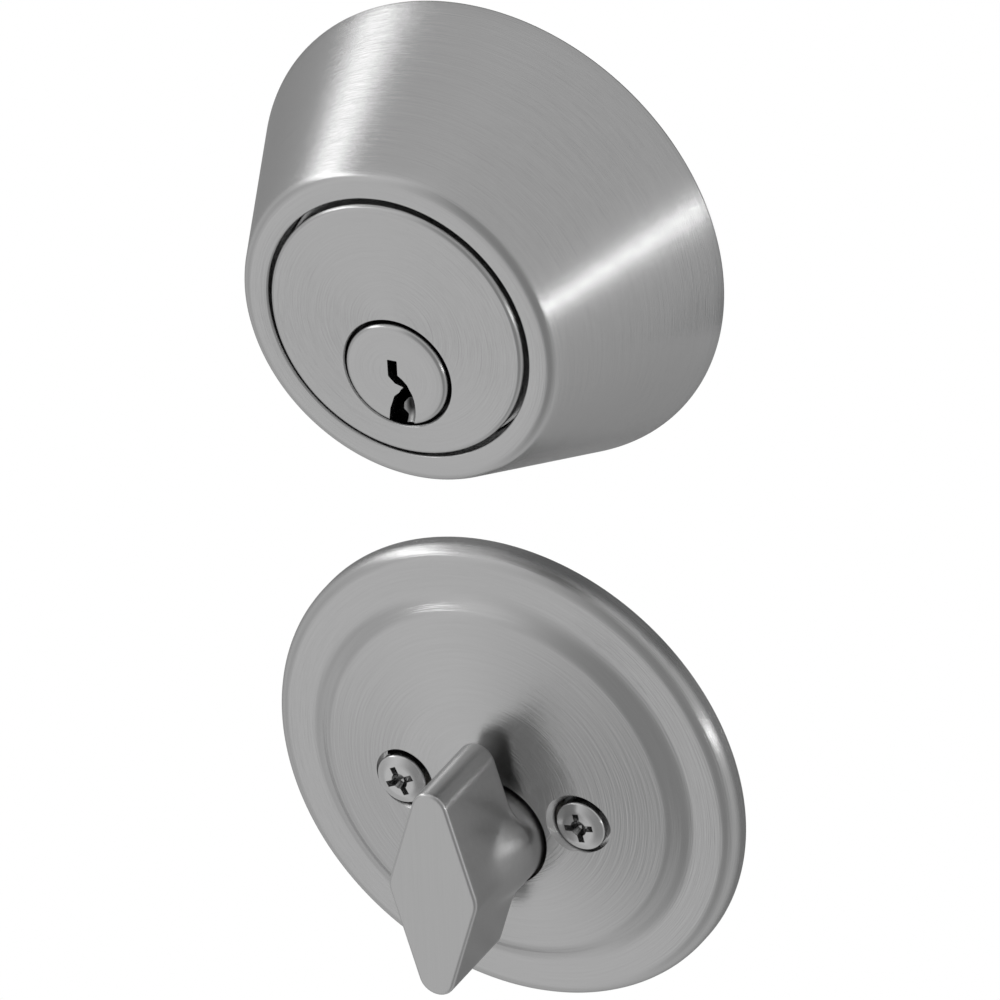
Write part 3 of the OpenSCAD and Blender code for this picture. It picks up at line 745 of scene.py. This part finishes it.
def make_screw(side, centre, head_top, tip, turn_deg):
    """A long screw: a domed cross-head on a shank whose last stretch is threaded. The thread's radius
    is 1.97 less a groove of 0.38 that runs once round for each pitch along it."""
    under, head_r, shank_r = head_top - 2.3, 3.5, 1.98
    head = [
        (2.0, under, 0.1), (head_r, under, 0.15), (head_r, under + 1.7, 0.35),
        (2.3, head_top - 0.08, 2.2), (AXIS_R, head_top, 0),
    ]
    head = refined(filleted(head, closed=False), 0.35, closed=False)
    segments, pitch, thread_r, groove, plain_l = 48, 0.8, 1.97, 0.38, 26.0
    angle = np.arange(segments) * math.tau / segments
    heights = np.arange(tip + pitch, under - plain_l, pitch / 8)
    phase = heights[:, None] / pitch - angle[None, :] / math.tau
    wave = np.abs((phase % 1.0) * 2 - 1)
    start = np.array([[0.3, tip], [1.2, tip + 0.05]])
    plain = np.array([[shank_r, under - plain_l + 0.4], [shank_r, under - 0.1]])
    radii = np.concatenate([
        np.broadcast_to(start[:, :1], (len(start), segments)), thread_r - groove * (1 - wave),
        np.broadcast_to(plain[:, :1], (len(plain), segments)),
        np.broadcast_to(head[:, :1], (len(head), segments)),
    ])
    levels = np.concatenate([start[:, 1], heights, plain[:, 1], head[:, 1]])
    x = centre[0] + radii * np.cos(angle)
    z = centre[1] + radii * np.sin(angle)
    y = np.broadcast_to(-levels[:, None], x.shape)
    piece = grid_mesh("screw_" + side, np.stack([x, y, z], axis=-1), sharp=40.0)
    dimple = np.array([
        (AXIS_R, head_top - 1.5), (0.75, head_top - 1.2), (1.25, head_top + 0.3), (AXIS_R, head_top + 0.3),
    ])
    arms = cross_arms(centre, head_top, turn_deg)
    return cut(piece, [*arms, turned("dimple", dimple, centre, 32)], sharp=40.0)


def soft_rectangle(width, tall, radius):
    """A rectangle with round corners about its middle, drawn anticlockwise."""
    u, v = width / 2, tall / 2
    corners = [(u, -v, radius), (u, v, radius), (-u, v, radius), (-u, -v, radius)]
    return refined(filleted(corners, steps=10), 2.0)


def edge_rows(low, high, edge):
    """Rows of an extruded outline with round edges at both ends."""
    arc = np.linspace(0, math.pi / 2, 5)
    rows = [(edge * (1 - math.sin(t)), low + edge * (1 - math.cos(t)), 1.0) for t in arc]
    return rows + [(edge * (1 - math.cos(t)), high - edge * (1 - math.sin(t)), 1.0) for t in arc]


def bolt_outline(head_r, width):
    """The bolt head's section: a circle cut by two flat sides."""
    reach = math.acos(width / 2 / head_r)
    top = np.linspace(reach, math.pi - reach, 24)
    upper = np.stack([head_r * np.cos(top), head_r * np.sin(top)], axis=1)
    return refined(np.concatenate([upper, -upper]), 1.0)


def make_faceplate():
    """The faceplate, with the bolt's opening and two countersunk screw holes."""
    low, high = PLATE_LOW[0], PLATE_HIGH[0]
    below, above = low - 2, high + 2
    size = PLATE_HIGH - PLATE_LOW
    outline = soft_rectangle(size[1], size[2], 6.3)
    piece = carried("edge_plate", outline, edge_rows(low, high, 0.35), facing_edge(EDGE_CENTRE))
    opening = bolt_outline(BOLT_R + 0.3, 14.6)
    cutters = [carried("opening", opening, [(0, below, 1), (0, above, 1)], facing_edge(EDGE_CENTRE))]
    screw_rise, hole_r, sink_r = 20.65, 2.2, 4.5
    rows = [(0.0, below, hole_r), (0.0, high - 2, hole_r), (0.0, high + 0.3, sink_r)]
    for rise in (-screw_rise, screw_rise):
        place = facing_edge((EDGE_CENTRE[0], EDGE_CENTRE[1] + rise))
        cutters.append(carried("sink", circle(64), rows, place))
    return cut(piece, cutters)


def make_bolt_head():
    """The bolt's head, with the slot for its tail and the roller's bore at the back."""
    low, high = BOLT_LOW[0], BOLT_HIGH[0]
    outline = bolt_outline(BOLT_R, BOLT_HIGH[1] - BOLT_LOW[1])
    piece = carried("bolt_nose", outline, edge_rows(low, high, 0.9), facing_edge(EDGE_CENTRE))
    tail_low, tail_high = node_box("bolt_tail")
    tail_y, tail_t = (tail_low[1] + tail_high[1]) / 2, tail_high[1] - tail_low[1]
    slot_place = facing_edge((tail_y, tail_high[2] - 2.15))
    slot = bar("slot", tail_t + 0.04, 4.34, low - 1, low + 8, slot_place)
    roller_low, roller_high = node_box("bolt_roller_pin")
    bore_place = facing_edge(((roller_low[1] + roller_high[1]) / 2, 0.0))
    bore_r, nose_t = 3.25, 3.7
    bore = carried("bore", circle(64), [(0, low - 1, bore_r), (0, high - nose_t, bore_r)], bore_place)
    return cut(piece, [slot, bore])


# ---- Materials ----


def make_materials(look):
    """Every finish on the lock, by name."""
    nickel, zinc, brass = tuple(look.nickel), tuple(look.zinc), tuple(look.brass)
    bright = tuple(min(1.0, 1.1 * c) for c in nickel)
    grey = tuple(0.72 * c for c in nickel)
    return {
        "guard": turned_satin("guard_satin_nickel", nickel, GUARD_CENTRE, depth=0.032),
        # The face's bore round the plug and the plug's keyway below its face get painted shade.
        "face": turned_satin(
            "face_satin_nickel", nickel, GUARD_CENTRE, line=0.18, bore=(PLUG_CENTRE, 7.78, FACE_H - 0.35)
        ),
        "plug": turned_satin(
            "plug_satin_nickel", nickel, PLUG_CENTRE, line=0.24, depth=0.02,
            bore=(PLUG_CENTRE, 6.9, FACE_H - 0.9),
        ),
        "rosette": turned_satin("rosette_satin_nickel", nickel, ROSE_CENTRE),
        "turn": straight_satin("turn_satin_nickel", nickel, (1.0, 0.5, 0.02), depth=0.01, rough=0.3),
        "screw": grained("screw_nickel", bright, 1.0, 900.0, 0.004, 0.24),
        "edge": straight_satin("edge_satin_nickel", nickel, (0.6, 1.0, 0.02)),
        "bolt": straight_satin("bolt_satin_nickel", nickel, (0.02, 1.0, 1.0)),
        "zinc": grained("zinc_plated_steel", zinc, 1.0, 1500.0, 0.004, 0.34),
        "spring": grained("spring_steel", grey, 1.0, 2000.0, 0.002, 0.25),
        "hard": grained("hardened_steel", grey, 1.0, 2500.0, 0.002, 0.2),
        "brass": grained("machined_brass", brass, 1.0, 2000.0, 0.002, 0.25),
        "nylon": grained("natural_nylon", (0.78, 0.76, 0.70), 0.0, 800.0, 0.006, 0.5),
    }


NODE_FINISH = {
    "zinc": [
        "tailpiece", "tail_retainer", "outside_back_plate", "inside_back_plate", "bolt_tail", "bolt_tube",
        "case_plate_front", "case_plate_back", "case_rivets", "crank", "faceplate_backing",
    ],
    "spring": [
        "wave_washer", "plug_clip", "turn_washer", "turn_clip", *[f"pin_spring_{i}" for i in PIN_NUMBERS],
    ],
    "hard": ["bolt_roller_pin", "bolt_tail_pin"],
    "brass": ["chamber_cover", *[f"pin_{i}" for i in PIN_NUMBERS]],
    "screw": ["faceplate_screws", *[f"driver_{i}" for i in PIN_NUMBERS]],
    "nylon": ["centring_ring", "turn_bushing"],
}


# ---- Operators ----

finishes = {}


def finish_named(name):
    """A finish, made with the others when the first one is asked for."""
    if not finishes:
        finishes.update(make_materials(bpy.context.scene.deadbolt_look))
    return finishes[name]


class DEADBOLT_OT_outside(bpy.types.Operator):
    """Makes the guard, the key cylinder and its plug"""

    bl_idname = "deadbolt.outside"
    bl_label = "Outside Half"

    def execute(self, context):
        sizes = context.scene.deadbolt_sizes
        fit(make_guard(sizes), finish_named("guard"), "guard", "satin_nickel", "guard_collar")
        fit(make_face(sizes), finish_named("face"), "root", "satin_nickel", "cylinder_housing")
        fit(make_plug(), finish_named("plug"), "plug", "satin_nickel", "plug")
        return {"FINISHED"}


class DEADBOLT_OT_inside(bpy.types.Operator):
    """Makes the rosette and the thumbturn"""

    bl_idname = "deadbolt.inside"
    bl_label = "Inside Half"

    def execute(self, context):
        sizes = context.scene.deadbolt_sizes
        fit(make_rosette(sizes), finish_named("rosette"), "root", "satin_nickel", "inside_rosette")
        fit(make_thumbturn(sizes), finish_named("turn"), "thumbturn", "satin_nickel", "thumbturn")
        return {"FINISHED"}


class DEADBOLT_OT_screws(bpy.types.Operator):
    """Makes the two long screws"""

    bl_idname = "deadbolt.screws"
    bl_label = "Screws"

    def execute(self, context):
        for (side, centre, head_top, tip), turn_deg in zip(screw_places(), (28.0, 12.0)):
            piece = make_screw(side, centre, head_top, tip, turn_deg)
            fit(piece, finish_named("screw"), "root", "screw_nickel", "through_bolt_" + side)
        return {"FINISHED"}


class DEADBOLT_OT_bolt(bpy.types.Operator):
    """Makes the bolt's head and the faceplate"""

    bl_idname = "deadbolt.bolt"
    bl_label = "Bolt"

    def execute(self, context):
        fit(make_faceplate(), finish_named("edge"), "root", "satin_nickel", "faceplate")
        fit(make_bolt_head(), finish_named("bolt"), "bolt", "satin_nickel", "bolt_head")
        return {"FINISHED"}


class DEADBOLT_OT_works(bpy.types.Operator):
    """Finishes the plates, pins, springs and levers that keep their CAD shape"""

    bl_idname = "deadbolt.works"
    bl_label = "Works"

    def execute(self, context):
        for finish, names in NODE_FINISH.items():
            for name in names:
                dress_node(name, finish_named(finish))
        return {"FINISHED"}


def softbox(name, direction, distance, width, tall, brightness, target=(0.0, 0.0, -0.036)):
    """A rectangular light that faces the lock from one direction. A sheet of area A and brightness L
    gives out pi A L watts."""
    light = bpy.data.lights.new(name, "AREA")
    light.shape = "RECTANGLE"
    light.size, light.size_y, light.energy = width, tall, math.pi * width * tall * brightness
    lamp = bpy.data.objects.new(name, light)
    bpy.context.scene.collection.objects.link(lamp)
    way = np.array(direction, float) / np.linalg.norm(direction)
    side = np.cross((0.0, 0.0, 1.0), way)
    side /= np.linalg.norm(side)
    turn = np.stack([side, np.cross(way, side), way], axis=1)
    place = np.eye(4)
    place[:3, :3] = turn
    place[:3, 3] = np.array(target) + way * distance
    lamp.matrix_world = Matrix(place.tolist())
    return lamp


def studio_world(strength):
    """Soft light that falls away behind the door: 1 - 0.5 y - 0.42 y^2. In front of the door it is
    dimmed too, apart from an upright strip to the left. Seen directly, the studio is white."""
    world = bpy.data.worlds.new("studio")
    bpy.context.scene.world = world
    world.use_nodes = True
    tree = world.node_tree
    way = node(tree, "ShaderNodeTexCoord", {}, output=0)
    outputs = node(tree, "ShaderNodeSeparateXYZ", {}, way).socket.node.outputs
    x, y, z = (Value(tree, outputs[i]) for i in range(3))
    strip_x, strip_y, never_zero = -0.55, -0.83, 0.001
    facing = (strip_x * x + strip_y * y) * (x * x + y * y + never_zero) ** -0.5
    strip = facing.math("MAXIMUM", facing, 0.0) ** 10.0
    front = node(tree, "ShaderNodeClamp", {}, -1.4 * y, 0.0, 1.0)
    shape = 1.0 - 0.5 * y - 0.42 * y * y + 0.04 * z
    level = strength * shape * (1.0 - front * (0.52 - 0.68 * strip))
    seen = node(tree, "ShaderNodeLightPath", {})
    brightness = level + seen * (1.0 - level)
    background = tree.nodes["Background"]
    background.inputs["Color"].default_value = (1, 1, 1, 1)
    tree.links.new(brightness.socket, background.inputs["Strength"])


def stage_surface(name, colour, glow):
    """A plain surface for the stage; with a glow it is a white sheet, clear from behind."""
    material = bpy.data.materials.new(name)
    material.use_nodes = True
    tree = material.node_tree
    surface = tree.nodes["Principled BSDF"]
    surface.inputs["Base Color"].default_value = (*colour, 1)
    surface.inputs["Roughness"].default_value = 0.9
    if glow:
        behind = node(tree, "ShaderNodeNewGeometry", {}, output=6)
        front = node(tree, "ShaderNodeEmission", {}, Color=(1, 1, 1, 1), Strength=1.0)
        clear = node(tree, "ShaderNodeBsdfTransparent", {})
        mixed = node(tree, "ShaderNodeMixShader", {}, behind, front, clear)
        tree.links.new(mixed.socket, tree.nodes["Material Output"].inputs["Surface"])
    return material


def stage_sheet(name, corners, material):
    """A flat four-sided sheet for the stage, its corners in metres."""
    mesh = bpy.data.meshes.new(name)
    mesh.from_pydata(corners, [], [(0, 1, 2, 3)])
    sheet = bpy.data.objects.new(name, mesh)
    bpy.context.scene.collection.objects.link(sheet)
    dress(sheet, material)
    return sheet


class DEADBOLT_OT_stage(bpy.types.Operator):
    """Makes the white sheet, floor, lights and camera"""

    bl_idname = "deadbolt.stage"
    bl_label = "Stage"

    def execute(self, context):
        scene = context.scene
        scene.view_settings.view_transform = "Standard"
        scene.view_settings.look = "None"
        studio_world(scene.deadbolt_look.studio)
        half, behind, drop, reach = 0.9, 0.0004, -0.185, 2
        sheet = stage_sheet(
            "white_sheet",
            [(-half, behind, drop), (half, behind, drop), (half, behind, half), (-half, behind, half)],
            stage_surface("sheet_white", (1, 1, 1), True),
        )
        floor = stage_sheet(
            "floor",
            [(-reach, -reach, drop), (reach, -reach, drop), (reach, reach, drop), (-reach, reach, drop)],
            stage_surface("floor_pale", (0.8, 0.8, 0.8), False),
        )
        for hidden in ("visible_diffuse", "visible_glossy", "visible_transmission", "visible_shadow"):
            setattr(sheet, hidden, False)
        floor.visible_glossy = False
        softbox("right_strip", (0.98, -0.12, 0.06), 0.9, 0.8, 0.035, 7.5)
        softbox("left_box", (-0.84, -0.1, 0.46), 0.9, 1.1, 0.26, 1.8)
        add_camera(scene)
        return {"FINISHED"}


def add_camera(scene):
    """The camera looks at the lock from above and from its right, rolled a little. back, right and
    up are its axes, and seen is the width that it takes in at the lock, in metres."""
    azimuth, elevation, roll = (math.radians(a) for a in (29.2, 32.9, 2.3))
    lens, sensor, seen = 1200.0, 36.0, 0.1287
    level = math.cos(elevation)
    back = np.array([math.sin(azimuth) * level, -math.cos(azimuth) * level, math.sin(elevation)])
    right = np.array([math.cos(azimuth), math.sin(azimuth), 0.0])
    up = np.cross(back, right)
    rolled_right = right * math.cos(roll) - up * math.sin(roll)
    rolled_up = up * math.cos(roll) + right * math.sin(roll)
    target = np.array([-0.9, 0.0, -35.4]) * MM
    data = bpy.data.cameras.new("camera")
    data.lens, data.sensor_width, data.clip_end = lens, sensor, 10.0
    camera = bpy.data.objects.new("camera", data)
    place = np.eye(4)
    place[:3, 0], place[:3, 1], place[:3, 2] = rolled_right, rolled_up, back
    place[:3, 3] = target + back * seen * lens / sensor
    scene.collection.objects.link(camera)
    camera.matrix_world = Matrix(place.tolist())
    scene.camera = camera


OPERATORS = (
    DEADBOLT_OT_outside, DEADBOLT_OT_inside, DEADBOLT_OT_screws, DEADBOLT_OT_bolt, DEADBOLT_OT_works,
    DEADBOLT_OT_stage,
)


class DEADBOLT_PT_panel(bpy.types.Panel):
    """Lists the lock's pieces and sizes"""

    bl_label = "Deadbolt"
    bl_idname = "DEADBOLT_PT_panel"
    bl_space_type = "VIEW_3D"
    bl_region_type = "UI"
    bl_category = "Deadbolt"

    def draw(self, context):
        for group in (context.scene.deadbolt_sizes, context.scene.deadbolt_look):
            for name in group.__annotations__:
                self.layout.prop(group, name)
        for operator in OPERATORS:
            self.layout.operator(operator.bl_idname)


CLASSES = (DeadboltSizes, DeadboltLook, *OPERATORS, DEADBOLT_PT_panel)


def register():
    """Registers the add-on's classes and its two groups of settings."""
    for item in CLASSES:
        bpy.utils.register_class(item)
    bpy.types.Scene.deadbolt_sizes = bpy.props.PointerProperty(type=DeadboltSizes)
    bpy.types.Scene.deadbolt_look = bpy.props.PointerProperty(type=DeadboltLook)


def unregister():
    """Takes the settings and classes away again."""
    del bpy.types.Scene.deadbolt_look
    del bpy.types.Scene.deadbolt_sizes
    for item in reversed(CLASSES):
        bpy.utils.unregister_class(item)


def main():
    """Makes the lock and its stage."""
    register()
    for operator in OPERATORS:
        group, name = operator.bl_idname.split(".")
        getattr(getattr(bpy.ops, group), name)()


if __name__ == "__main__":
    main()
